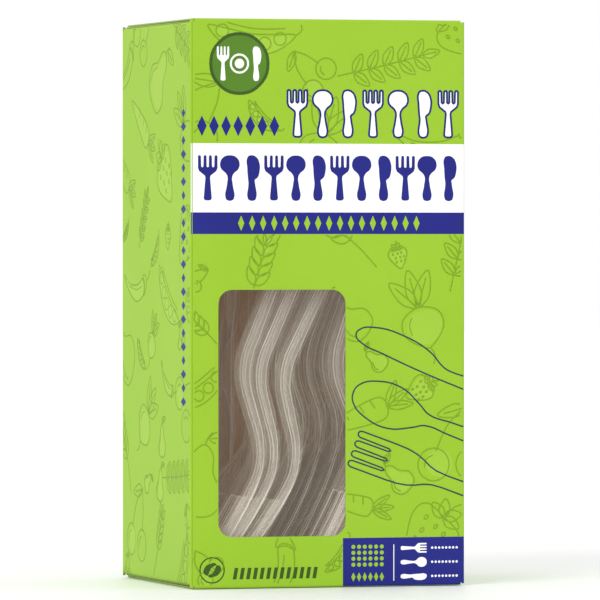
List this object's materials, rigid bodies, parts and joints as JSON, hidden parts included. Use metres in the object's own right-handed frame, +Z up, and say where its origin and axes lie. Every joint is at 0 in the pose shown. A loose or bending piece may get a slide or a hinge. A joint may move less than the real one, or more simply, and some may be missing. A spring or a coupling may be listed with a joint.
{
  "type": "plastic cutlery pack",
  "caption": "Upright folding carton with a rounded film window in its front, packed with clear plastic forks, spoons and knives standing on their tips.",
  "frame": {"origin": "middle of the carton's bottom face, on the surface that it stands on", "axes": "+Z up along the carton's height, -Y out of the printed front with the window, +X to the right as seen from the front"},
  "size_m": [0.101, 0.091, 0.2],
  "materials": {
    "carton_board": "clay-coated carton board printed lime green, with white and dark blue areas, under a satin varnish; plain brown inside",
    "print_blue": "dark blue ink under satin varnish",
    "print_white": "bare white clay coat under satin varnish",
    "print_green": "green ink line drawing under satin varnish",
    "window_film": "clear, glossy, slightly wavy film",
    "clear_plastic": "clear moulded polystyrene with bright edges"
  },
  "bodies": {
    "root": {"carton": "carton_board", "window_film": "window_film", "fork_1": "clear_plastic", "fork_2": "clear_plastic", "fork_3": "clear_plastic", "fork_4": "clear_plastic", "fork_5": "clear_plastic", "fork_6": "clear_plastic", "fork_7": "clear_plastic", "fork_8": "clear_plastic", "spoon_1": "clear_plastic", "spoon_2": "clear_plastic", "spoon_3": "clear_plastic", "spoon_4": "clear_plastic", "spoon_5": "clear_plastic", "spoon_6": "clear_plastic", "spoon_7": "clear_plastic", "spoon_8": "clear_plastic", "knife_1": "clear_plastic", "knife_2": "clear_plastic", "knife_3": "clear_plastic", "knife_4": "clear_plastic", "knife_5": "clear_plastic", "knife_6": "clear_plastic", "knife_7": "clear_plastic", "knife_8": "clear_plastic"}
  },
  "joints": []
}
